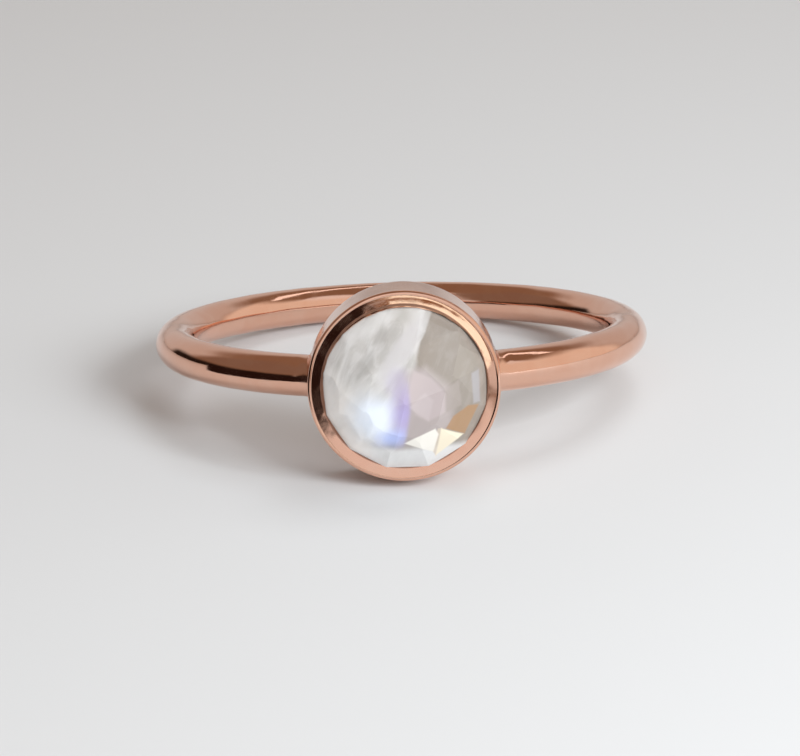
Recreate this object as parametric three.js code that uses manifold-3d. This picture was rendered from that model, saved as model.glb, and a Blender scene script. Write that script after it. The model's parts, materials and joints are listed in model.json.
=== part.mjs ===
// A stackable ring: a round-wire band with a round bezel cup soldered to it, and a
// rose-cut moonstone held in the cup. Units are millimetres and +Z is up. The ring is
// modelled lying on its side as it rests by itself: on the lower edge of the bezel cup
// and on the back of the band, with the stone facing -Y and slightly upwards.

import * as THREE from "three";
import { ConvexGeometry } from "three/addons/geometries/ConvexGeometry.js";
import { mergeVertices } from "three/addons/utils/BufferGeometryUtils.js";
import Module from "manifold-3d";

const wasm = await Module();
wasm.setup();

// Band
const fingerBore = 16.8; // inside diameter
const wireWidth = 1.6; // diameter of the round wire
const bandSteps = 96; // sides round the finger
const wireSides = 16; // sides round the wire

// Moonstone
const stoneWidth = 6.4; // diameter at the girdle
const girdleHeight = 0.8; // straight side of the stone, hidden in the cup
const crownHeight = 2.2; // from the top of the girdle to the table
const crownShift = 0.35; // how far the hand-cut crown sits off the stone's axis
const stoneTurn = 17; // degrees that the facets are turned about the stone's axis
const handCut = 0.012; // share by which hand cutting moves each facet corner

// Rings of facet corners on the crown, as shares of the stone's radius, of the crown's
// height and of its shift. Each ring is turned by its own offset in degrees.
const crownRings = [
  { name: "table", corners: 6, radius: 0.08, height: 1.0, shift: 0.9, offset: 0 },
  { name: "star", corners: 6, radius: 0.49, height: 0.8, shift: 1.0, offset: 0 },
  { name: "kite", corners: 12, radius: 0.8, height: 0.42, shift: 0.5, offset: 0 },
  { name: "girdle", corners: 24, radius: 1.0, height: 0.0, shift: 0.0, offset: 7.5 },
];

// Bezel cup
const settingClearance = 0.1; // gap between the stone and the metal round it
const bezelWall = 0.3; // metal round the stone
const cupFloor = 1.0; // metal under the stone
const backStandoff = 0.35; // from the inside of the band to the cup's flat back
const backChamfer = 0.12; // on the edge of the flat back
const lipOverlap = 0.13; // how far the rim is pushed over the edge of the stone
const lipThickness = 0.16; // metal at the inside edge of the rim
const rimBevel = 0.24; // how far the bevel drops from the ridge to the stone
const rimShoulder = 0.22; // width and height of the round outside edge of the rim
const shoulderSteps = 4; // facets across the round outside edge
const bezelSides = 72; // sides round the cup

// The band, from the finger's axis
const wireRadius = wireWidth / 2;
const bandRadius = fingerBore / 2 + wireRadius;
const backReach = fingerBore / 2 + backStandoff;

// The cup and the stone in it. Radii are from the stone's axis, and heights are from
// the cup's flat back.
const stoneRadius = stoneWidth / 2;
const seatRadius = stoneRadius + settingClearance;
const bezelRadius = seatRadius + bezelWall;
const openingRadius = stoneRadius - lipOverlap;
const stoneBack = cupFloor + settingClearance;
const girdleTop = stoneBack + girdleHeight;
const seatTop = girdleTop + settingClearance;
const [kite, girdle] = crownRings.slice(-2);
const edgeSlope =
  (crownHeight * (kite.height - girdle.height)) /
  (stoneRadius * (girdle.radius - kite.radius));
const lipUnderside = seatTop + lipOverlap * edgeSlope;
const lipTop = lipUnderside + lipThickness;
const bezelDepth = lipTop + rimBevel;

// A closed mesh as a manifold-3d solid, with its shared corners merged.
function solidOf(geometry) {
  const bare = geometry.clone();
  bare.deleteAttribute("normal");
  bare.deleteAttribute("uv");
  const merged = mergeVertices(bare);
  return new wasm.Manifold(
    new wasm.Mesh({
      numProp: 3,
      vertProperties: new Float32Array(merged.attributes.position.array),
      triVerts: new Uint32Array(merged.index.array),
    }),
  );
}

// A manifold-3d solid as a flat-shaded three.js geometry.
function geometryOf(solid) {
  const mesh = solid.getMesh();
  const geometry = new THREE.BufferGeometry();
  geometry.setAttribute(
    "position",
    new THREE.BufferAttribute(mesh.vertProperties, 3),
  );
  geometry.setIndex(new THREE.BufferAttribute(mesh.triVerts, 1));
  const flat = geometry.toNonIndexed();
  flat.computeVertexNormals();
  return flat;
}

// Turns a profile of [radius, height] points about the stone's axis, which points away
// from the finger along -Y. A flat of the turned shape faces down, so that the cup
// rests on a face and not on a corner.
function turned(profile) {
  const points = profile.map(([radius, height]) => new THREE.Vector2(radius, height));
  const lathe = new THREE.LatheGeometry(points, bezelSides, Math.PI / bezelSides);
  lathe.rotateX(Math.PI);
  lathe.translate(0, -backReach, 0);
  return lathe;
}

// The round outside edge of the rim, from the wall up to the ridge.
function shoulderProfile() {
  return Array.from({ length: shoulderSteps + 1 }, (_, step) => {
    const turn = (step / shoulderSteps) * (Math.PI / 2);
    return [
      bezelRadius - rimShoulder * (1 - Math.cos(turn)),
      bezelDepth - rimShoulder * (1 - Math.sin(turn)),
    ];
  });
}

// The outside of the cup as a solid block with a dished top.
function cupBlock() {
  return turned([
    [0, 0],
    [bezelRadius - backChamfer, 0],
    [bezelRadius, backChamfer],
    ...shoulderProfile(),
    [openingRadius, lipTop],
    [0, lipTop],
  ]);
}

// What is cut from the cup and the wire: the stone's seat, and the opening in the rim.
function seatCutter() {
  const pastRim = bezelDepth + rimShoulder;
  return turned([
    [0, cupFloor],
    [seatRadius, cupFloor],
    [seatRadius, seatTop],
    [openingRadius, lipUnderside],
    [openingRadius, pastRim],
    [0, pastRim],
  ]);
}

function bandWithBezel() {
  const wire = new THREE.TorusGeometry(bandRadius, wireRadius, wireSides, bandSteps);
  const metal = solidOf(wire).add(solidOf(cupBlock()));
  return geometryOf(metal.subtract(solidOf(seatCutter())));
}

// One ring of facet corners at a height above the cup's back, moved a little from the
// true circle as hand cutting leaves it.
function ringCorners(ring, height) {
  const wander = ring === girdle ? 0 : handCut;
  return Array.from({ length: ring.corners }, (_, corner) => {
    const turn = THREE.MathUtils.degToRad(
      stoneTurn + ring.offset + (corner * 360) / ring.corners,
    );
    const uneven = 1 + wander * Math.sin(5 * corner + ring.corners);
    const reach = ring.radius * stoneRadius * uneven;
    return new THREE.Vector3(
      reach * Math.cos(turn),
      -backReach - height,
      reach * Math.sin(turn) - ring.shift * crownShift,
    );
  });
}

function roseCutStone() {
  const crown = crownRings.flatMap((ring) =>
    ringCorners(ring, girdleTop + ring.height * crownHeight),
  );
  return new ConvexGeometry([...crown, ...ringCorners(girdle, stoneBack)]);
}

// How far the ring tips about X when it lies by itself on the cup and on the band.
function restingTilt() {
  const footing = backReach + backChamfer + bandRadius;
  const span = Math.hypot(bezelRadius, footing);
  return Math.acos(wireRadius / span) - Math.atan2(footing, bezelRadius);
}

function part(name, geometry, colour, roughness, metalness) {
  const material = new THREE.MeshStandardMaterial({
    color: new THREE.Color(...colour),
    roughness,
    metalness,
    flatShading: true,
  });
  const mesh = new THREE.Mesh(geometry, material);
  mesh.name = name;
  return mesh;
}

const roseGold = [0.83, 0.5, 0.39];
const milkWhite = [0.84, 0.84, 0.87];

const lying = new THREE.Group();
lying.add(part("band_and_bezel", bandWithBezel(), roseGold, 0.12, 1.0));
lying.add(part("moonstone", roseCutStone(), milkWhite, 0.08, 0.0));
lying.rotation.x = -restingTilt();

// The origin is on the surface that the ring lies on, under the middle of its box.
const ring = new THREE.Group();
ring.add(lying);
const box = new THREE.Box3().setFromObject(ring, true);
const middle = box.getCenter(new THREE.Vector3());
lying.position.set(-middle.x, -middle.y, -box.min.z);

export default ring;
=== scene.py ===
"""A stackable ring lying on its side: a round-wire band of rose gold with a round bezel
cup, and a rose-cut moonstone. The metal is one soldered piece and the stone another."""

import json
import math

import bmesh
import bpy
import numpy as np
from mathutils import Euler, Matrix, Vector


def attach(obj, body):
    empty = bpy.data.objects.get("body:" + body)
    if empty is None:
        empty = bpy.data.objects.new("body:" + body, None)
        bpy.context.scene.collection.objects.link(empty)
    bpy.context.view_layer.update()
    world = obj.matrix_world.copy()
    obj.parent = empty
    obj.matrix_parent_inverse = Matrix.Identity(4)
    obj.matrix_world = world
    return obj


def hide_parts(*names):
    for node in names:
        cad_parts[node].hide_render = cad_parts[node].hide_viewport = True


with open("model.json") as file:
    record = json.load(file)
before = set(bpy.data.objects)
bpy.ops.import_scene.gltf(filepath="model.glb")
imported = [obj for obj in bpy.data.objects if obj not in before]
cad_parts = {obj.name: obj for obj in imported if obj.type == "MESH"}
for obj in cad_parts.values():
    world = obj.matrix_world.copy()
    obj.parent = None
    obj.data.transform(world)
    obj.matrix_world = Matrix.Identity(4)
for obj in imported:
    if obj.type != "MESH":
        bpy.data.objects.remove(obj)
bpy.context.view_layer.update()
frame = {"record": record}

MM = 0.001

# Sizes of the ring in millimetres, in its own frame: the finger's axis is Z, and the
# stone faces -Y.
FINGER_BORE = 16.8
WIRE_RADIUS = 0.8
BAND_RADIUS = FINGER_BORE / 2 + WIRE_RADIUS
BACK_STANDOFF = 0.35  # from the inside of the band to the cup's flat back
BACK_REACH = FINGER_BORE / 2 + BACK_STANDOFF  # the same from the finger's axis

# Sizes of the cup. Radii are from the stone's axis, heights from the flat back.
CUP_RADIUS = 3.6
CUP_DEPTH = 2.50
CUP_FLOOR = 1.0
SEAT_RADIUS = 3.3
OPENING_RADIUS = 3.07
LIP_UNDERSIDE = 2.32
SEAT_TOP = 2.2
BACK_ROUND = 0.12

# Sizes of the stone
STONE_RADIUS = 3.2
STONE_BACK = 1.1
GIRDLE_TOP = 2.15
CROWN_HEIGHT = 1.95
CROWN_SHIFT = 0.35

# Fineness of the meshes
BAND_STEPS = 640
WIRE_SIDES = 64
CUP_STEPS = 320
BACK_ROWS = 36  # across the cup's back, then along the rest of its profile
BACK_EDGE_ROWS = 8
WALL_ROWS = 14
SHOULDER_ROWS = 14
FACE_ROWS = 10
LIP_ROWS = 6
FLOOR_ROWS = 4

# Solder at the joints between the wire and the cup: how far it reaches, and how often the
# points are drawn onto it and evened out
SOLDER = 0.34
SOLDER_PASSES = 12
SMOOTH_PASSES = 40
SMOOTH_REACH = 1.6  # where the evening out ends, in shares of the solder's reach
SHORTEST_WAY = 0.05  # keeps the steps short where the two directions oppose each other
TINY = 1e-9


def rest_placement():
    """From the ring's own millimetres to the frame, as the CAD model lies."""
    back = frame["record"]["mounts"][0]
    axis = Vector(back["axis"])
    tilt = math.atan2(-axis.z, axis.y)
    height = (WIRE_RADIUS + BAND_RADIUS * math.sin(tilt)) * MM
    centre = Vector((0.0, 0.0, height))
    on_back = Vector(back["pos_m"]) - centre
    centre.y += (on_back.dot(axis) + BACK_REACH * MM) / axis.y
    return Matrix.Translation(centre) @ Matrix.Rotation(-tilt, 4, "X"), tilt


placement, tilt = rest_placement()
ring_centre = placement.translation.copy()


def placed_object(name, points, faces):
    """A mesh object from points in the ring's millimetres, with its place in its mesh."""
    mesh = bpy.data.meshes.new(name)
    mesh.from_pydata([tuple(p) for p in points], [], faces)
    piece = bpy.data.objects.new(name, mesh)
    bpy.context.scene.collection.objects.link(piece)
    return piece


def read_points(mesh):
    flat = np.empty(len(mesh.vertices) * 3)
    mesh.vertices.foreach_get("co", flat)
    return flat.reshape(-1, 3)


def write_points(mesh, points):
    mesh.vertices.foreach_set("co", points.astype(np.float32).ravel())
    mesh.update()


def settle(piece):
    """Moves a finished mesh from the ring's millimetres to its place in the frame."""
    points = read_points(piece.data) * MM
    matrix = np.array(placement)
    write_points(piece.data, points @ matrix[:3, :3].T + matrix[:3, 3])


def grid_faces(rows, columns, wrap_rows):
    """Quads of a grid whose columns close on themselves."""
    faces = []
    for row in range(rows if wrap_rows else rows - 1):
        below = (row + 1) % rows
        for column in range(columns):
            after = (column + 1) % columns
            faces.append((
                row * columns + column,
                below * columns + column,
                below * columns + after,
                row * columns + after,
            ))
    return faces


# Waviness that filing and polishing by hand leave on the wire: share of its radius, waves
# round the finger, waves round the wire, and start. It fades out at the cup.
WIRE_WAVES = ((0.0040, 9, 2, 0.7), (0.0028, 23, -3, 0.0), (0.0018, 41, 1, 2.0))
WIRE_WORN = 0.004  # share of the radius that polishing takes off
WAVES_START = 0.22  # as the sine of half the turn from the cup
WAVES_GROW = 0.2  # over how much of that they reach their full size


def wire_ring():
    around = np.arange(BAND_STEPS) / BAND_STEPS * math.tau
    section = np.arange(WIRE_SIDES) / WIRE_SIDES * math.tau
    turn, side = np.meshgrid(around, section, indexing="ij")
    from_cup = np.abs(np.sin((turn + math.pi / 2) / 2))
    away = np.clip((from_cup - WAVES_START) / WAVES_GROW, 0, 1)
    wave = sum(
        size * np.sin(around_finger * turn + around_wire * side + start)
        for size, around_finger, around_wire, start in WIRE_WAVES
    )
    radius = WIRE_RADIUS * (1 - away * (WIRE_WORN + wave))
    reach = BAND_RADIUS + radius * np.cos(side)
    points = np.stack(
        [reach * np.cos(turn), reach * np.sin(turn), radius * np.sin(side)], -1
    ).reshape(-1, 3)
    faces = [face[::-1] for face in grid_faces(BAND_STEPS, WIRE_SIDES, True)]
    return placed_object("wire", points, faces)


def arc(centre, radius, start, end, steps):
    """Points of a round corner in a profile, in degrees from the radial direction."""
    turns = np.radians(np.linspace(start, end, steps + 1))
    return [
        (centre[0] + radius * math.cos(t), centre[1] + radius * math.sin(t))
        for t in turns
    ]


def arc_centre(point, radius, turn):
    """The centre of an arc that passes through a point in the given direction."""
    way = math.radians(turn)
    return point[0] - radius * math.cos(way), point[1] - radius * math.sin(way)


def stretch(start, end, steps):
    """Points along a straight stretch of a profile, without its ends."""
    shares = np.arange(1, steps) / steps
    return [
        (start[0] + (end[0] - start[0]) * s, start[1] + (end[1] - start[1]) * s)
        for s in shares
    ]


RIM_ROUND = 0.13  # round outer edge of the rim
FACE_LEAN = (16, 21.5)  # the rim's face leans towards the stone, outside and at the stone
LIP_ROUND = 0.025  # burnished edge at the stone
LIP_END = 190  # degrees from the radial direction at which that edge ends
OPENING_SQUASH = 0.12  # how much less the opening reaches up and down than sideways
OPENING_SHIFT = 0.055  # how far the opening sits to the right
PUSHED_WIDTH = 0.3  # how far from the stone the rim is pushed over it
# Unevenness of the opening: millimetres, waves round the stone, and start
RIM_WAVES = ((0.008, 5, 0.4), (0.006, 11, 1.9), (0.005, 19, 0.0), (0.004, 37, 0.8))
RIM_SWAY = (0.006, 3, 1.1)  # the same for the rim's height
SWAY_DEPTH = 0.5
EDGE_BREAK = 0.01  # small bevel under the lip


def cup_profile():
    """Radius and height from the axis at the back, round the outside, to the axis."""
    back_centre = (CUP_RADIUS - BACK_ROUND, BACK_ROUND)
    back_edge = arc(back_centre, BACK_ROUND, -90, 0, BACK_EDGE_ROWS)
    outside, inside = (90 + lean for lean in FACE_LEAN)
    shoulder_centre = (CUP_RADIUS - RIM_ROUND, CUP_DEPTH - RIM_ROUND)
    shoulder = arc(shoulder_centre, RIM_ROUND, 0, outside, SHOULDER_ROWS)
    lip_width = LIP_ROUND * (1 - math.sin(math.radians(FACE_LEAN[1])))
    width = shoulder[-1][0] - OPENING_RADIUS - lip_width
    bend = width / (math.cos(math.radians(outside)) - math.cos(math.radians(inside)))
    face_centre = arc_centre(shoulder[-1], bend, outside)
    face = arc(face_centre, bend, outside, inside, FACE_ROWS)
    lip_centre = arc_centre(face[-1], LIP_ROUND, inside)
    lip = arc(lip_centre, LIP_ROUND, inside, LIP_END, LIP_ROWS)
    return [
        *stretch((0.0, 0.0), back_edge[0], BACK_ROWS),
        *back_edge,
        *stretch(back_edge[-1], shoulder[0], WALL_ROWS),
        *shoulder,
        *face[1:],
        *lip[1:],
        (OPENING_RADIUS, LIP_UNDERSIDE + EDGE_BREAK),
        (OPENING_RADIUS + EDGE_BREAK, LIP_UNDERSIDE),
        (SEAT_RADIUS, SEAT_TOP),
        (SEAT_RADIUS, CUP_FLOOR),
        *stretch((SEAT_RADIUS, CUP_FLOOR), (0.0, CUP_FLOOR), FLOOR_ROWS),
    ]


def cup_points(radius, height, turn):
    """Points round the stone's axis, which points along -Y."""
    return np.stack(
        [radius * np.cos(turn), -BACK_REACH - height, radius * np.sin(turn)], -1
    )


def bezel_cup():
    """The cup, with the unevenness of a rim pushed over its stone by hand."""
    profile = np.array(cup_profile())
    turn = np.arange(CUP_STEPS) / CUP_STEPS * math.tau
    radius = np.repeat(profile[:, :1], CUP_STEPS, 1)
    height = np.repeat(profile[:, 1:], CUP_STEPS, 1)
    near_stone = np.clip((OPENING_RADIUS + PUSHED_WIDTH - radius) / PUSHED_WIDTH, 0, 1)
    near_stone = near_stone * (height > LIP_UNDERSIDE)
    on_rim = np.clip((height - CUP_DEPTH + SWAY_DEPTH) / SWAY_DEPTH, 0, 1)
    pushed = OPENING_SHIFT * np.cos(turn) - OPENING_SQUASH * np.sin(turn) ** 2
    for size, waves, start in RIM_WAVES:
        pushed = pushed + size * np.sin(waves * turn + start)
    radius = radius + near_stone * pushed
    sway, waves, start = RIM_SWAY
    height = height + on_rim * sway * np.sin(waves * turn + start)
    points = cup_points(radius, height, turn[None, :]).reshape(-1, 3)
    rows = len(profile)
    faces = grid_faces(rows, CUP_STEPS, False)
    back_pole, floor_pole = len(points), len(points) + 1
    poles = [(0.0, -BACK_REACH, 0.0), (0.0, -BACK_REACH - CUP_FLOOR, 0.0)]
    last = (rows - 1) * CUP_STEPS
    for step in range(CUP_STEPS):
        after = (step + 1) % CUP_STEPS
        faces.append((back_pole, step, after))
        faces.append((floor_pole, last + after, last + step))
    return placed_object("cup", np.vstack([points, poles]), faces)


def circle_points(radius, height, steps):
    turn = np.arange(steps) / steps * math.tau
    return cup_points(np.full(steps, radius), np.full(steps, height), turn)


def seat_plug():
    """The room that the stone takes, cut out of the wire where it passes under it."""
    margin = 0.001
    points = np.vstack([
        circle_points(SEAT_RADIUS + margin, CUP_FLOOR - margin, CUP_STEPS),
        circle_points(SEAT_RADIUS + margin, SEAT_TOP, CUP_STEPS),
    ])
    faces = grid_faces(2, CUP_STEPS, False)
    faces.append(tuple(range(CUP_STEPS)))
    faces.append(tuple(range(2 * CUP_STEPS - 1, CUP_STEPS - 1, -1)))
    return placed_object("plug", points, faces)


def make_boolean(piece, other, operation):
    cut = piece.modifiers.new(operation, "BOOLEAN")
    cut.operation = operation
    cut.solver = "MANIFOLD"
    cut.object = other
    bpy.context.view_layer.objects.active = piece
    bpy.ops.object.modifier_apply(modifier=cut.name)
    bpy.data.objects.remove(other)


def wire_depth(p):
    """Distance outside the wire, and its direction."""
    across = np.hypot(p[:, 0], p[:, 1])
    reach = across - BAND_RADIUS
    span = np.hypot(reach, p[:, 2])
    along = reach / span / across
    way = np.stack([p[:, 0] * along, p[:, 1] * along, p[:, 2] / span], 1)
    return span - WIRE_RADIUS, way


def cup_depth(p):
    """Distance outside the cup's wall and back, and its direction."""
    across = np.maximum(np.hypot(p[:, 0], p[:, 2]), TINY)
    outside = across - CUP_RADIUS
    behind = p[:, 1] + BACK_REACH
    wall = np.stack([p[:, 0] / across, np.zeros(len(p)), p[:, 2] / across], 1)
    back = np.tile([0.0, 1.0, 0.0], (len(p), 1))
    corner = (outside > 0) & (behind > 0)
    span = np.hypot(outside, behind)
    rounded = outside[:, None] * wall + behind[:, None] * back
    rounded = rounded / np.maximum(span, TINY)[:, None]
    depth = np.where(corner, span, np.maximum(outside, behind))
    flat = np.where((outside > behind)[:, None], wall, back)
    return depth, np.where(corner[:, None], rounded, flat)


def flow_solder(mesh):
    """Moves points near the joints onto a smooth blend of the wire and the cup."""
    points = read_points(mesh)
    for _ in range(SOLDER_PASSES):
        wire, wire_way = wire_depth(points)
        cup, cup_way = cup_depth(points)
        share = np.clip(0.5 + 0.5 * (cup - wire) / SOLDER, 0, 1)
        blended = wire * share + cup * (1 - share) - SOLDER * share * (1 - share)
        way = wire_way * share[:, None] + cup_way * (1 - share)[:, None]
        length = np.maximum((way**2).sum(1), SHORTEST_WAY)
        near = (np.abs(wire - cup) < SOLDER) & (np.maximum(wire, cup) < SOLDER)
        step = np.where(near, blended / length, 0)
        points = points - way * step[:, None]
    write_points(mesh, points)


def smooth_solder(piece):
    """Evens out the points near the solder, which the union leaves crowded."""
    points = read_points(piece.data)
    wire, cup = wire_depth(points)[0], cup_depth(points)[0]
    away = np.maximum(np.abs(wire), np.abs(cup))
    share = np.clip(SMOOTH_REACH - away / SOLDER, 0, 1)
    group = piece.vertex_groups.new(name="solder")
    for index in np.flatnonzero(share):
        group.add([int(index)], float(share[index]), "REPLACE")
    smooth = piece.modifiers.new("smooth", "SMOOTH")
    smooth.factor = 0.5
    smooth.iterations = SMOOTH_PASSES
    smooth.vertex_group = "solder"
    bpy.context.view_layer.objects.active = piece
    bpy.ops.object.modifier_apply(modifier=smooth.name)


def make_metal():
    wire = wire_ring()
    make_boolean(wire, seat_plug(), "DIFFERENCE")
    metal = bezel_cup()
    make_boolean(metal, wire, "UNION")
    flow_solder(metal.data)
    smooth_solder(metal)
    metal.name = "rose_gold_ring"
    metal.data.name = "rose_gold_ring"
    metal.data.shade_smooth()
    settle(metal)
    return metal


# Tiers of facets: name, how many, the first one's direction and how steep they are in
# degrees, the radius and the height over the girdle of a point that they pass through,
# and the share of the crown's shift that they take.
FACET_TIERS = (
    ("girdle", 12, 32.0, 45.0, 2.473, 0.727, 0.35),
    ("kite", 12, 32.0, 38.5, 2.473, 0.727, 0.6),
    ("skirt", 6, 47.0, 33.5, 1.358, 1.51, 1.0),
    ("star", 6, 47.0, 17.95, 1.358, 1.51, 1.0),
)
STONE_STEPS = 96

# Spread that cutting by hand leaves: direction and lean in degrees, depth in millimetres
HAND_SEED = 11
HAND_TURN = 0.8
HAND_LEAN = 0.25
HAND_DEPTH = 0.004
EDGE_WEAR = 0.014  # width of the polished edges between facets
SMALLEST_EDGE = 0.004


def moonstone_mesh():
    """The stone as it is cut: a round blank, and one flat cut for each facet."""
    rng = np.random.default_rng(HAND_SEED)
    form = bmesh.new()
    back, front = (
        [form.verts.new(p) for p in circle_points(STONE_RADIUS, height, STONE_STEPS)]
        for height in (STONE_BACK, GIRDLE_TOP + CROWN_HEIGHT)
    )
    form.faces.new(back)
    form.faces.new(front[::-1])
    for step in range(STONE_STEPS):
        after = (step + 1) % STONE_STEPS
        form.faces.new((back[step], front[step], front[after], back[after]))
    bmesh.ops.recalc_face_normals(form, faces=form.faces)
    for _, count, first, steep, radius, height, shift in FACET_TIERS:
        for index in range(count):
            uneven_turn = rng.normal(0, HAND_TURN)
            turn_by = math.radians(first + index * 360 / count + uneven_turn)
            lean = math.radians(steep + rng.normal(0, HAND_LEAN))
            depth = rng.normal(0, HAND_DEPTH)
            normal = Vector((
                math.cos(turn_by) * math.sin(lean),
                -math.cos(lean),
                math.sin(turn_by) * math.sin(lean),
            ))
            through = Vector((
                radius * math.cos(turn_by),
                -BACK_REACH - GIRDLE_TOP - height,
                radius * math.sin(turn_by) - shift * CROWN_SHIFT,
            )) + normal * depth
            cut = bmesh.ops.bisect_plane(
                form,
                geom=form.verts[:] + form.edges[:] + form.faces[:],
                plane_co=through,
                plane_no=normal,
                clear_outer=True,
            )
            edges = [e for e in cut["geom_cut"] if isinstance(e, bmesh.types.BMEdge)]
            if edges:
                bmesh.ops.contextual_create(form, geom=edges)
    bmesh.ops.remove_doubles(form, verts=form.verts, dist=SMALLEST_EDGE)
    bmesh.ops.recalc_face_normals(form, faces=form.faces)
    mesh = bpy.data.meshes.new("moonstone_rose_cut")
    form.to_mesh(mesh)
    form.free()
    return mesh


def make_stone():
    mesh = moonstone_mesh()
    stone = bpy.data.objects.new("moonstone_rose_cut", mesh)
    bpy.context.scene.collection.objects.link(stone)
    edge = stone.modifiers.new("edge", "BEVEL")
    edge.width = EDGE_WEAR
    edge.segments = 2
    edge.limit_method = "ANGLE"
    edge.angle_limit = math.radians(3)
    edge.harden_normals = True
    bpy.context.view_layer.objects.active = stone
    mesh.shade_smooth()
    bpy.ops.object.modifier_apply(modifier=edge.name)
    settle(stone)
    return stone


def new_material(name):
    material = bpy.data.materials.new(name)
    material.use_nodes = True
    tree = material.node_tree
    shader = tree.nodes["Principled BSDF"]
    return material, tree, shader


def feed(tree, socket, value):
    """Links a socket to another one, or gives it a value; a colour has three parts."""
    if isinstance(value, bpy.types.NodeSocket):
        tree.links.new(value, socket)
    elif socket.type == "RGBA":
        socket.default_value = (*value, 1)
    else:
        socket.default_value = value


def add_node(tree, kind, settings=(), **inputs):
    """A shader node, with its settings and its inputs: by name, or as i and a number."""
    node = tree.nodes.new(kind)
    for key, value in dict(settings).items():
        setattr(node, key, value)
    for key, value in inputs.items():
        numbered = key[0] == "i" and key[1:].isdigit()
        place = int(key[1:]) if numbered else key.replace("_", " ")
        feed(tree, node.inputs[place], value)
    return node


def ramp(tree, value, low, high, to_low=0.0, to_high=1.0):
    """A smooth step of a value between two limits."""
    step = add_node(
        tree,
        "ShaderNodeMapRange",
        {"interpolation_type": "SMOOTHSTEP"},
        Value=value,
        From_Min=low,
        From_Max=high,
        To_Min=to_low,
        To_Max=to_high,
    )
    return step.outputs["Result"]


def sum_up(tree, operation, *values):
    """The result of a sum on sockets and numbers."""
    node = tree.nodes.new("ShaderNodeMath")
    node.operation = operation
    for socket, value in zip(node.inputs, values):
        feed(tree, socket, value)
    return node.outputs["Value"]


def on_vectors(tree, operation, *values):
    """The result of a sum on vectors, as the node that holds it."""
    node = tree.nodes.new("ShaderNodeVectorMath")
    node.operation = operation
    for socket, value in zip(node.inputs, values):
        feed(tree, socket, value)
    return node


def blend_colour(tree, share, first, second):
    node = add_node(
        tree, "ShaderNodeMix", {"data_type": "RGBA"}, i0=share, i6=first, i7=second
    )
    return node.outputs[2]


def ring_millimetres(tree):
    """Places on the surface in the ring's own millimetres."""
    where = tree.nodes.new("ShaderNodeTexCoord")
    mapped = add_node(
        tree,
        "ShaderNodeMapping",
        {"vector_type": "TEXTURE"},
        Vector=where.outputs["Object"],
        Location=ring_centre,
        Rotation=(-tilt, 0.0, 0.0),
        Scale=(MM, MM, MM),
    )
    return mapped.outputs["Vector"]


# Spots in the stone reach deep, so that they show the same from the front.
SPOT_HEIGHT = 1.5  # their middles lie this far over the girdle
SPOT_DEPTH = 6.0  # half of their depth


def distance_from(tree, place, centre, size, turned):
    """How far a place is from a spot on the stone, in shares of the spot's size."""
    mapped = add_node(
        tree,
        "ShaderNodeMapping",
        {"vector_type": "TEXTURE"},
        Vector=place,
        Location=(centre[0], -BACK_REACH - GIRDLE_TOP - SPOT_HEIGHT, centre[1]),
        Rotation=(0.0, turned, 0.0),
        Scale=(size[0], SPOT_DEPTH, size[1]),
    )
    return on_vectors(tree, "LENGTH", mapped.outputs["Vector"]).outputs["Value"]


def fog(tree, place, scale, detail, warp):
    noise = add_node(
        tree, "ShaderNodeTexNoise", {"noise_dimensions": "3D"},
        Vector=place, Scale=scale, Detail=detail, Roughness=0.55, Distortion=warp,
    )
    return noise.outputs["Fac"]


# Fine marks in the gold, and the waves under them. How far outside the cup's wall and
# back the marks round the cup fade into those round the wire.
MARKS_PER_MM = 13.0
MARK_DEPTH = 0.0006 * MM
WAVE_DEPTH = 0.004 * MM
WALL_FADE = (0.02, 0.2)
BACK_FADE = (0.02, 0.1)


def polishing_marks(tree, parts, away, along):
    """Fine marks that run round an axis: away and along are the places across them."""
    across = add_node(
        tree, "ShaderNodeCombineXYZ",
        X=sum_up(tree, "MULTIPLY", away, MARKS_PER_MM),
        Y=sum_up(tree, "MULTIPLY", along, MARKS_PER_MM),
        Z=parts.outputs["X"],
    ).outputs["Vector"]
    other = sum_up(tree, "ADD", parts.outputs["Y"], parts.outputs["Z"])
    noise = add_node(
        tree, "ShaderNodeTexNoise", {"noise_dimensions": "4D"},
        Vector=across, W=other, Scale=1.0, Detail=3.0, Roughness=0.6,
    )
    return noise.outputs["Fac"]


def length_of(tree, first, second):
    squares = sum_up(tree, "MULTIPLY", first, first)
    both = sum_up(tree, "MULTIPLY_ADD", second, second, squares)
    return sum_up(tree, "SQRT", both)


# Smears of polish: how many to the millimetre, their detail and their warp, and the
# limits of their noise between the two tones and between polished and smeared gold
SMEARS = (0.9, 3.0, 0.5)
SMEAR_TONES = (0.35, 0.7)
SMEAR_GLOSS = (0.38, 0.72)

# Colours of the gold: two tones of the smears, and painted shade on the duller line where
# the stone sits
GOLD_DEEP = (0.81, 0.47, 0.345)
GOLD_PALE = (0.83, 0.505, 0.38)
GOLD_PAINTED_SHADE = (0.26, 0.11, 0.07)
PAINTED_SHADE_SHARE = 0.75
DULL_AND_SHADE_REACH = (0.03, 0.08)  # where the duller line and its painted shade start and stop fading
LIP_EDGE = LIP_UNDERSIDE + 0.06  # height of the duller line and its painted shade

# Where the solder was cleaned up, from the stone's axis
JOINT_RADIUS = CUP_RADIUS + 0.12
JOINT_REACH = (0.05, 0.22)
JOINT_SHARE = 0.6

# Roughness of the gold: polished and smeared, and what the rest adds to it
POLISHED = 0.05
SMEARED = 0.12
MARKS_ADD = 0.05
JOINT_ADDS = 0.10
DULL_ADDS = 0.25


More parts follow.
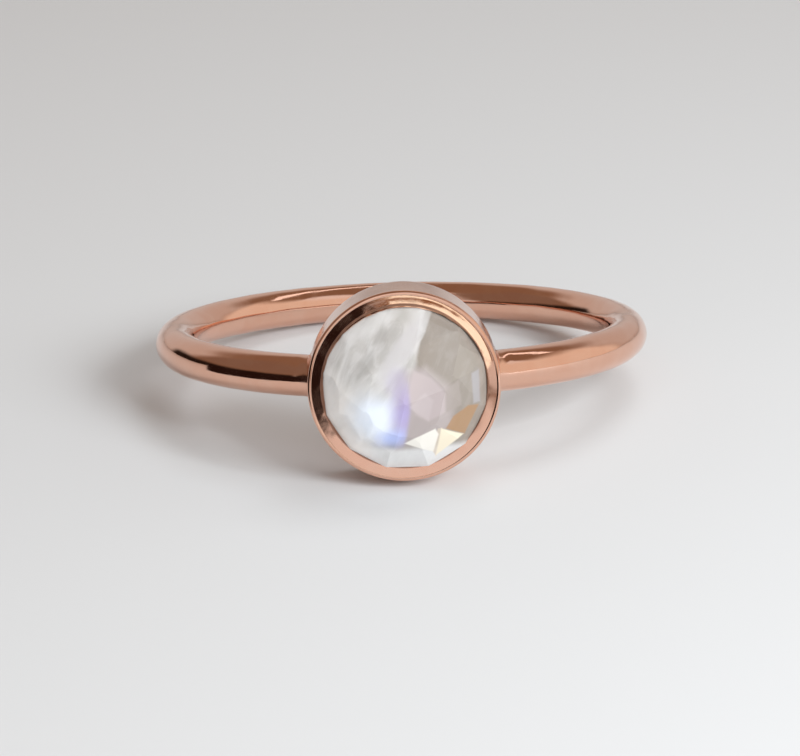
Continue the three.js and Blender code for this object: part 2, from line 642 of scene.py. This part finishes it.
def rose_gold():
    """Polished by hand: faint smears and marks, and a duller line where the stone sits,
    darkened with painted shade.
    """
    material, tree, shader = new_material("rose_gold")
    surface = ring_millimetres(tree)
    parts = add_node(tree, "ShaderNodeSeparateXYZ", i0=surface)
    x, y, z = (parts.outputs[name] for name in "XYZ")
    from_finger = length_of(tree, x, y)
    from_stone = length_of(tree, x, z)
    on_wall = ramp(tree, from_stone, *(CUP_RADIUS + far for far in WALL_FADE), 1.0, 0.0)
    on_back = ramp(tree, y, *(far - BACK_REACH for far in BACK_FADE), 1.0, 0.0)
    on_cup = sum_up(tree, "MULTIPLY", on_wall, on_back)
    wire_marks = polishing_marks(tree, parts, from_finger, z)
    cup_marks = polishing_marks(tree, parts, from_stone, y)
    marks = add_node(tree, "ShaderNodeMix", i0=on_cup, i2=wire_marks, i3=cup_marks)
    marks = marks.outputs[0]
    smears = fog(tree, surface, *SMEARS)
    lip_aside = sum_up(tree, "SUBTRACT", from_stone, OPENING_RADIUS)
    lip_below = sum_up(tree, "ADD", y, BACK_REACH + LIP_EDGE)
    duller_and_shaded = ramp(tree, length_of(tree, lip_aside, lip_below), *DULL_AND_SHADE_REACH, 1.0, 0.0)
    from_joint = sum_up(tree, "SUBTRACT", from_stone, JOINT_RADIUS)
    from_joint = sum_up(tree, "ABSOLUTE", from_joint)
    joint = ramp(tree, from_joint, *JOINT_REACH, JOINT_SHARE, 0.0)
    tone = blend_colour(tree, ramp(tree, smears, *SMEAR_TONES), GOLD_DEEP, GOLD_PALE)
    # painted shade: the duller line where the lip meets the stone is darkened
    lip_painted_shade = sum_up(tree, "MULTIPLY", duller_and_shaded, PAINTED_SHADE_SHARE)
    feed(tree, shader.inputs["Base Color"], blend_colour(tree, lip_painted_shade, tone, GOLD_PAINTED_SHADE))
    roughness = ramp(tree, smears, *SMEAR_GLOSS, POLISHED, SMEARED)
    roughness = sum_up(tree, "MULTIPLY_ADD", marks, MARKS_ADD, roughness)
    roughness = sum_up(tree, "MULTIPLY_ADD", joint, JOINT_ADDS, roughness)
    roughness = sum_up(tree, "MULTIPLY_ADD", duller_and_shaded, DULL_ADDS, roughness)
    feed(tree, shader.inputs["Roughness"], roughness)
    shader.inputs["Metallic"].default_value = 1.0
    waves = add_node(
        tree, "ShaderNodeBump", Strength=1.0, Distance=WAVE_DEPTH, Height=smears,
    ).outputs["Normal"]
    scratched = add_node(
        tree, "ShaderNodeBump",
        Strength=1.0, Distance=MARK_DEPTH, Height=marks, Normal=waves,
    ).outputs["Normal"]
    feed(tree, shader.inputs["Normal"], scratched)
    return material


def within(tree, place, corners, soft):
    """1 inside a convex outline with anticlockwise corners on the stone's front, else 0."""
    nearest = None
    for (x0, z0), (x1, z1) in zip(corners, corners[1:] + corners[:1]):
        inward = Vector((z0 - z1, 0.0, x1 - x0)).normalized()
        reach = on_vectors(tree, "DOT_PRODUCT", place, inward).outputs["Value"]
        reach = sum_up(tree, "SUBTRACT", reach, inward.x * x0 + inward.z * z0)
        nearest = reach if nearest is None else sum_up(tree, "MINIMUM", nearest, reach)
    return ramp(tree, nearest, -soft, soft)


# Painted reflections that flash in the facets of the clear side: name, colour, strength,
# soft edge, and corners as X and Z from the stone's axis in millimetres, anticlockwise.
PAINTED_FACET_REFLECTIONS = (
    ("blush", (0.43, 0.375, 0.37), 0.85, 0.22,
     ((-0.3, 0.7), (-0.3, -2.2), (0.9, -1.9), (1.75, -1.3), (1.75, 0.1), (0.8, 0.9))),
    ("side", (0.35, 0.305, 0.28), 0.7, 0.06,
     ((1.45, -0.85), (2.1, -0.6), (2.0, 0.35), (1.45, 0.0))),
    ("rose", (0.50, 0.43, 0.435), 0.65, 0.07,
     ((0.39, -0.8), (0.85, -1.07), (1.5, -0.8), (1.5, -0.06), (1.01, 0.5), (0.34, 0.83),
      (0.11, -0.06))),
    ("pale wedge", (0.53, 0.47, 0.475), 0.6, 0.07,
     ((0.15, -0.5), (0.86, -1.05), (1.05, -0.3), (0.75, 0.0))),
    ("tan", (0.38, 0.215, 0.10), 0.8, 0.04,
     ((1.5, -1.45), (2.2, -1.8), (2.75, -0.7), (2.35, -0.66), (1.78, -1.0))),
    ("blue strip", (0.40, 0.39, 0.42), 0.6, 0.05,
     ((2.5, 0.5), (2.55, -0.62), (2.80, -0.6), (2.78, 0.6))),
    ("ridge", (0.62, 0.53, 0.43), 0.8, 0.03,
     ((0.98, -2.35), (1.12, -2.62), (1.36, -1.4), (1.2, -1.4))),
    ("left flash", (0.82, 0.79, 0.73), 1.0, 0.04,
     ((-0.05, -1.95), (1.02, -2.4), (1.22, -1.65), (1.1, -1.4), (0.3, -1.75))),
    ("right flash", (0.82, 0.74, 0.58), 1.0, 0.04,
     ((1.32, -1.42), (1.1, -2.6), (1.65, -2.18), (2.15, -1.8))),
)

# The painted violet and blue sheen stays inside this outline, which is crisp on its right.
VIOLET_EDGE = (
    (-1.4, -2.3), (-0.08, -2.3), (0.2, -0.7), (0.16, 0.4), (-0.3, 1.0), (-1.4, 0.6),
)
VIOLET_SOFT = 0.10

# Soft spots in the milk, the first one painted first: name, colour, strength, middle and
# half size as X and Z in millimetres, turn in degrees, and the share of it that is even.
SPOTS = (
    # painted light: the left side and low left spots lighten the stone's margins that lie
    # in shade
    ("left side", (0.83, 0.79, 0.76), 0.65, (-2.5, -1.0), (1.2, 2.4), -15, 0.2),
    ("low left", (0.86, 0.82, 0.79), 0.7, (-1.9, -2.1), (1.0, 0.9), 0, 0.2),
    ("top pocket", (0.36, 0.335, 0.30), 0.5, (0.0, 2.7), (0.55, 0.5), 30, 0.1),
    ("upper pocket", (0.38, 0.355, 0.335), 0.65, (-0.75, 2.0), (0.45, 0.75), 40, 0.1),
    ("lower pocket", (0.38, 0.365, 0.35), 0.6, (-1.35, 1.1), (0.35, 0.75), 35, 0.1),
    ("streak", (0.57, 0.55, 0.55), 0.85, (-0.1, 1.45), (0.45, 1.9), 37, 0.5),
    # painted sheen: the lavender, glow, violet and blue spots are the moonstone's glow and
    # blue sheen, painted into its colour
    ("lavender", (0.52, 0.48, 0.60), 0.5, (-0.3, 0.4), (0.6, 0.8), 20, 0.3),
    ("glow", (0.74, 0.79, 0.87), 1.0, (-1.1, -1.0), (1.35, 1.4), -20, 0.2),
    ("violet", (0.385, 0.33, 0.61), 0.8, (-0.06, -0.8), (0.8, 1.75), 6, 0.0),
    ("blue", (0.44, 0.55, 0.97), 0.7, (-0.5, -1.75), (1.0, 0.6), -12, 0.0),
)

# Veils in the milk, and finer wisps: how many to the millimetre, their detail and their
# warp. Both lean by some degrees, and are stretched along X and Z.
VEILS = (0.75, 5.0, 0.9)
WISPS = (1.9, 4.0, 0.4)
VEIL_LEAN = 30
VEIL_STRETCH = (0.55, 1.7)

# Colours in the stone, from deep to pale: the milk and the wisps in it, the clear side
# and the wisps in that, and the rim of milk at the bottom, made paler with painted light
MILK = ((0.44, 0.42, 0.40), (0.59, 0.575, 0.56))
MILK_WISP = (0.66, 0.65, 0.64)
CLEAR = ((0.265, 0.23, 0.20), (0.305, 0.27, 0.235))
CLEAR_WISP = (0.40, 0.365, 0.335)
BOTTOM_MILK_PAINTED_LIGHT = ((0.70, 0.705, 0.71), (0.86, 0.865, 0.87))

# Two limits of the veils or the wisps, and how much of the colour shows at each
MILK_VEILED = (0.33, 0.60, 0.0, 1.0)
MILK_WISPED = (0.45, 0.75, 0.0, 0.5)
CLEAR_WISPED = (0.4, 0.7, 0.0, 0.25)
BOTTOM_PAINTED_LIGHT_FADE = (-2.35, -2.0, 0.85, 0.0)  # the same for the bottom milk and its painted light, by height

# The clear side lies to the right of a line that leans with the height and wavers with
# the veils. Its edge is crisper higher up.
LINE_LEAN = -0.42
LINE_WAVER = 0.4
CRISPNESS = (0.6, 2.2, 2.0, 7.0)  # two heights, and how crisp it is at each

# Two places across that line in millimetres, and what is true of the stone at each: the
# share of light let through, the share spread in the milk, and how much a facet's own
# slope counts in its shading
LET_THROUGH = (0.2, 1.2, 0.0, 0.12)
SPREAD = (-0.4, 0.6, 0.9, 0.1)
FACETED = (-0.2, 0.5, 0.12, 0.55)
SPREAD_REACH = 0.5 * MM  # how far light spreads in the milk
SPREAD_COLOUR = (0.9, 0.95, 1.0)

# Facets shift what is seen through them by this much, and break the clear side into cells
# of painted internal reflection.
FACET_SHIFT = 0.35
REFLECTION_CELLS_PER_MM = 0.75

WISP_FRAY = 0.3  # how far the wisps fray the soft spots
MILK_ROUNDNESS = 1.6  # the milk's rounded front is flatter than the crown by this much
STONE_IOR = 1.53
COAT_ROUGHNESS = 0.03
BODY_ROUGHNESS = 0.3


def milk_centre():
    """What the milk's rounded front is centred on, in the frame's metres."""
    reach = MILK_ROUNDNESS * (STONE_RADIUS**2 + CROWN_HEIGHT**2) / CROWN_HEIGHT
    height = GIRDLE_TOP + CROWN_HEIGHT - reach
    return placement @ Vector((0.0, (-BACK_REACH - height) * MM, 0.0))


def rounded_normal(tree, facing, slant):
    """Lights the milk as one rounded body, and the clear side more by its facets."""
    where = tree.nodes.new("ShaderNodeTexCoord").outputs["Object"]
    outward = on_vectors(tree, "SUBTRACT", where, milk_centre()).outputs["Vector"]
    outward = on_vectors(tree, "NORMALIZE", outward).outputs["Vector"]
    mixed = add_node(
        tree, "ShaderNodeMix", {"data_type": "VECTOR"},
        i0=ramp(tree, slant, *FACETED), i4=outward, i5=facing,
    )
    return mixed.outputs[1]


def clear_colour_and_reflections(tree, place, wisps):
    # cells of painted internal reflection, a grey of their own in each facet
    cells = add_node(
        tree, "ShaderNodeTexVoronoi", {"feature": "F1"}, Vector=place, Scale=REFLECTION_CELLS_PER_MM,
    )
    shade = add_node(tree, "ShaderNodeSeparateColor", i0=cells.outputs["Color"])
    grey = blend_colour(tree, shade.outputs[0], *CLEAR)
    return blend_colour(tree, ramp(tree, wisps, *CLEAR_WISPED), grey, CLEAR_WISP)


def add_painted_reflections(tree, surface, colour):
    # each outline is a painted reflection in the facets
    for _, tint, strength, soft, corners in PAINTED_FACET_REFLECTIONS:
        share = sum_up(tree, "MULTIPLY", within(tree, surface, corners, soft), strength)
        colour = blend_colour(tree, share, colour, tint)
    return colour


def add_spots(tree, surface, wisps, colour):
    crisp = within(tree, surface, VIOLET_EDGE, VIOLET_SOFT)
    for name, tint, strength, middle, size, turn, even in SPOTS:
        away = distance_from(tree, surface, middle, size, math.radians(turn))
        away = sum_up(tree, "MULTIPLY_ADD", wisps, WISP_FRAY, away)
        middling = WISP_FRAY / 2
        share = ramp(tree, away, even + middling, 1 + middling, strength, 0.0)
        if name in ("violet", "blue"):
            share = sum_up(tree, "MULTIPLY", share, crisp)
        colour = blend_colour(tree, share, colour, tint)
    return colour


def moonstone():
    """Milky feldspar: clouds in veils, a painted blue sheen, and a clearer, greyer side
    with painted facet reflections; its shaded margins and bottom carry painted light.
    """
    material, tree, shader = new_material("moonstone")
    surface = ring_millimetres(tree)
    facing = tree.nodes.new("ShaderNodeNewGeometry").outputs["True Normal"]
    shift = (FACET_SHIFT, FACET_SHIFT, FACET_SHIFT)
    place = on_vectors(tree, "MULTIPLY_ADD", facing, shift, surface).outputs["Vector"]
    veined = add_node(
        tree, "ShaderNodeMapping", {"vector_type": "TEXTURE"},
        Vector=surface,
        Rotation=(0.0, math.radians(VEIL_LEAN), 0.0),
        Scale=(VEIL_STRETCH[0], 1.0, VEIL_STRETCH[1]),
    ).outputs["Vector"]
    veils = fog(tree, veined, *VEILS)
    wisps = fog(tree, veined, *WISPS)
    parts = add_node(tree, "ShaderNodeSeparateXYZ", i0=surface)
    across, up = parts.outputs["X"], parts.outputs["Z"]
    colour = blend_colour(tree, ramp(tree, veils, *MILK_VEILED), *MILK)
    colour = blend_colour(tree, ramp(tree, wisps, *MILK_WISPED), colour, MILK_WISP)
    slant = sum_up(tree, "MULTIPLY_ADD", up, LINE_LEAN, across)
    slant = sum_up(tree, "MULTIPLY_ADD", veils, LINE_WAVER, slant)
    crisp = sum_up(tree, "MULTIPLY", slant, ramp(tree, up, *CRISPNESS))
    clear = ramp(tree, crisp, 0.0, 1.0)
    colour = blend_colour(tree, clear, colour, clear_colour_and_reflections(tree, place, wisps))
    # the bottom is milky, and paler than the rest as painted light, since its facets face
    # down into shade
    bottom = blend_colour(tree, wisps, *BOTTOM_MILK_PAINTED_LIGHT)
    colour = blend_colour(tree, ramp(tree, up, *BOTTOM_PAINTED_LIGHT_FADE), colour, bottom)
    # painted reflections in the facets, then the spots with their painted sheen and painted
    # light
    colour = add_painted_reflections(tree, surface, colour)
    colour = add_spots(tree, surface, wisps, colour)
    feed(tree, shader.inputs["Base Color"], colour)
    feed(tree, shader.inputs["Normal"], rounded_normal(tree, facing, slant))
    feed(tree, shader.inputs["Transmission Weight"], ramp(tree, slant, *LET_THROUGH))
    feed(tree, shader.inputs["Subsurface Weight"], ramp(tree, slant, *SPREAD))
    shader.inputs["Subsurface Radius"].default_value = SPREAD_COLOUR
    shader.inputs["Subsurface Scale"].default_value = SPREAD_REACH
    shader.inputs["Coat Weight"].default_value = 1.0
    shader.inputs["Coat Roughness"].default_value = COAT_ROUGHNESS
    shader.inputs["Coat IOR"].default_value = STONE_IOR
    shader.inputs["Specular IOR Level"].default_value = 0.0
    shader.inputs["Roughness"].default_value = BODY_ROUGHNESS
    shader.inputs["IOR"].default_value = STONE_IOR
    return material


FLOOR_COLOUR = (0.69, 0.712, 0.728)
FLOOR_SIZE = 1.2
FLOOR_BEHIND = 0.2  # the floor's middle lies this far behind the ring


def pale_floor():
    material, tree, shader = new_material("pale_floor")
    feed(tree, shader.inputs["Base Color"], FLOOR_COLOUR)
    shader.inputs["Roughness"].default_value = 0.35
    shader.inputs["Specular IOR Level"].default_value = 0.0
    return material


# The photograph's frame, and where the ring's centre lies in it
FRAME_WIDTH = 800
FRAME_HEIGHT = 756
CENTRE_PIXEL = (401.3, 335.5)
CAMERA_DISTANCE = 120 * MM  # from the ring's centre
PIXELS_PER_MM = 24.46  # at the ring's centre
CAMERA_RISE = 9.74  # degrees above the plane of the band
CAMERA_TURN = 0.32  # degrees round the finger's axis
CAMERA_ROLL = -1.38
SENSOR = 36.0
CLIP_START = 0.001
CLIP_END = 10


def make_camera():
    focal = PIXELS_PER_MM / MM * CAMERA_DISTANCE
    camera = bpy.data.objects.new("camera", bpy.data.cameras.new("camera"))
    bpy.context.scene.collection.objects.link(camera)
    camera.data.sensor_width = SENSOR
    camera.data.lens = focal / FRAME_WIDTH * SENSOR
    camera.data.clip_start = CLIP_START
    camera.data.clip_end = CLIP_END
    rise = math.radians(CAMERA_RISE) + tilt
    turn = math.radians(CAMERA_TURN)
    back = Vector((
        -math.sin(turn) * math.cos(rise),
        -math.cos(turn) * math.cos(rise),
        math.sin(rise),
    ))
    aimed = back.to_track_quat("Z", "Y").to_matrix().to_4x4()
    rolled = aimed @ Matrix.Rotation(math.radians(CAMERA_ROLL), 4, "Z")
    right = (CENTRE_PIXEL[0] - FRAME_WIDTH / 2) / focal
    up = (FRAME_HEIGHT / 2 - CENTRE_PIXEL[1]) / focal
    swung = rolled @ Euler((-math.atan(up), math.atan(right), 0)).to_matrix().to_4x4()
    camera.matrix_world = (
        Matrix.Translation(ring_centre + back * CAMERA_DISTANCE) @ swung
    )
    bpy.context.scene.camera = camera


# The room that lights the ring and that its polished metal mirrors: soft panes of light
# in the dim. Each row has a name, the middle azimuth from the camera's side towards the
# right, half the width, the middle height over the floor, half the height and the soft
# edge, all in degrees, and the light.
DIM_ROOM = (0.26, 0.17, 0.115)
NEAR_BLACK = (0.02, 0.010, 0.008)
PANES = (
    ("front", 15, 62, 32, 29, 5, (0.88, 0.89, 0.90)),
    ("left", -78, 40, 34, 20, 8, (0.24, 0.17, 0.13)),
    ("right", 78, 45, 12, 30, 9, (0.86, 0.78, 0.69)),
    ("back", 180, 58, 16, 18, 8, (0.60, 0.57, 0.55)),
    ("dark left", -92, 44, -2, 14, 5, (0.02, 0.013, 0.010)),
)

# Small cards close to the ring that show only in polished surfaces: name, light, and
# corners in millimetres. The dark ones stand on the floor and the others lie on it.
CARDS = (
    ("dark right", NEAR_BLACK,
     ((1.2, -17.3, 0.0), (14.0, -24.0, 0.0), (14.0, -24.0, 4.2), (1.2, -17.3, 4.2))),
    ("dark middle", NEAR_BLACK,
     ((1.2, -17.3, 0.0), (1.4, -32.0, 0.0), (1.4, -32.0, 4.2), (1.2, -17.3, 4.2))),
    ("dark left", NEAR_BLACK,
     ((-11.0, -15.5, 0.0), (-17.5, -3.0, 0.0), (-17.5, -3.0, 5.0), (-11.0, -15.5, 5.0))),
    ("brown", (0.30, 0.16, 0.08),
     ((-9.0, -34.0, 0.01), (1.2, -24.0, 0.01), (1.2, -16.0, 0.01), (-9.0, -19.0, 0.01))),
    ("bright", (1.4, 1.6, 1.5),
     ((0.7, -22.8, 0.02), (0.6, -20.0, 0.02), (-0.6, -17.0, 0.02), (-9.0, -19.8, 0.02),
      (-9.0, -28.4, 0.02), (-1.2, -21.8, 0.02))),
)

# Lamps: name, place and size in metres, watts, and whether polished surfaces mirror them
LAMP_COLOUR = (0.93, 0.97, 1.0)
LAMPS = (
    ("window", (0.06, 0.10, 0.16), (0.16, 0.02), 0.012, True),
    ("top", (0.06, 0.08, 0.20), (0.10, 0.10), 0.095, False),
    ("fill", (0.09, -0.11, 0.075), (0.07, 0.07), 0.26, False),
)


def make_floor():
    bpy.ops.mesh.primitive_plane_add(size=FLOOR_SIZE, location=(0, FLOOR_BEHIND, 0))
    floor = bpy.context.object
    floor.name = "floor"
    floor.data.materials.append(pale_floor())


def make_card(name, light, corners):
    """A card that only polished surfaces see."""
    mesh = bpy.data.meshes.new(name)
    places = [tuple(v * MM for v in corner) for corner in corners]
    mesh.from_pydata(places, [], [tuple(range(len(places)))])
    card = bpy.data.objects.new(name, mesh)
    bpy.context.scene.collection.objects.link(card)
    material, tree, shader = new_material(name)
    feed(tree, shader.inputs["Base Color"], (0.0, 0.0, 0.0))
    shader.inputs["Specular IOR Level"].default_value = 0.0
    feed(tree, shader.inputs["Emission Color"], light)
    shader.inputs["Emission Strength"].default_value = 1.0
    mesh.materials.append(material)
    card.visible_camera = False
    card.visible_diffuse = False
    card.visible_shadow = False
    card.visible_transmission = False


def pane(tree, azimuth, height, row):
    """How much of a direction lies in a pane of light."""
    _, middle, half_width, level, half_height, soft, _ = row
    aside = sum_up(tree, "SUBTRACT", azimuth, math.radians(middle))
    aside = sum_up(tree, "WRAP", aside, math.pi, -math.pi)
    aside = sum_up(tree, "ABSOLUTE", aside)
    above = sum_up(tree, "SUBTRACT", height, math.radians(level))
    above = sum_up(tree, "ABSOLUTE", above)
    edge = math.radians(soft)
    wide, tall = math.radians(half_width), math.radians(half_height)
    return sum_up(
        tree,
        "MULTIPLY",
        ramp(tree, aside, wide - edge, wide + edge, 1.0, 0.0),
        ramp(tree, above, tall - edge, tall + edge, 1.0, 0.0),
    )


def studio_light():
    """A dim, plain room with soft panes of light."""
    world = bpy.data.worlds.new("studio")
    bpy.context.scene.world = world
    world.use_nodes = True
    tree = world.node_tree
    way = tree.nodes.new("ShaderNodeTexCoord").outputs["Generated"]
    parts = add_node(tree, "ShaderNodeSeparateXYZ", i0=way)
    toward = sum_up(tree, "MULTIPLY", parts.outputs["Y"], -1.0)
    azimuth = sum_up(tree, "ARCTAN2", parts.outputs["X"], toward)
    height = sum_up(tree, "ARCSINE", parts.outputs["Z"])
    colour = DIM_ROOM
    for row in PANES:
        colour = blend_colour(tree, pane(tree, azimuth, height, row), colour, row[-1])
    feed(tree, tree.nodes["Background"].inputs["Color"], colour)


def make_lamp(name, place, size, watts, mirrored):
    """A soft box that faces the ring."""
    lamp = bpy.data.lights.new(name, "AREA")
    lamp.shape = "RECTANGLE"
    lamp.size, lamp.size_y = size
    lamp.energy = watts
    lamp.color = LAMP_COLOUR
    box = bpy.data.objects.new(name, lamp)
    bpy.context.scene.collection.objects.link(box)
    box.location = place
    aim = ring_centre - box.location
    box.rotation_euler = aim.to_track_quat("-Z", "Y").to_euler()
    box.visible_glossy = mirrored


bpy.context.scene.view_settings.view_transform = "Standard"

metal = make_metal()
metal.data.materials.clear()
metal.data.materials.append(rose_gold())
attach(metal, "root")
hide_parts("band_and_bezel")

stone = make_stone()
stone.data.materials.append(moonstone())
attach(stone, "root")
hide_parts("moonstone")

make_floor()
for card in CARDS:
    make_card(*card)
make_camera()
studio_light()
for lamp in LAMPS:
    make_lamp(*lamp)
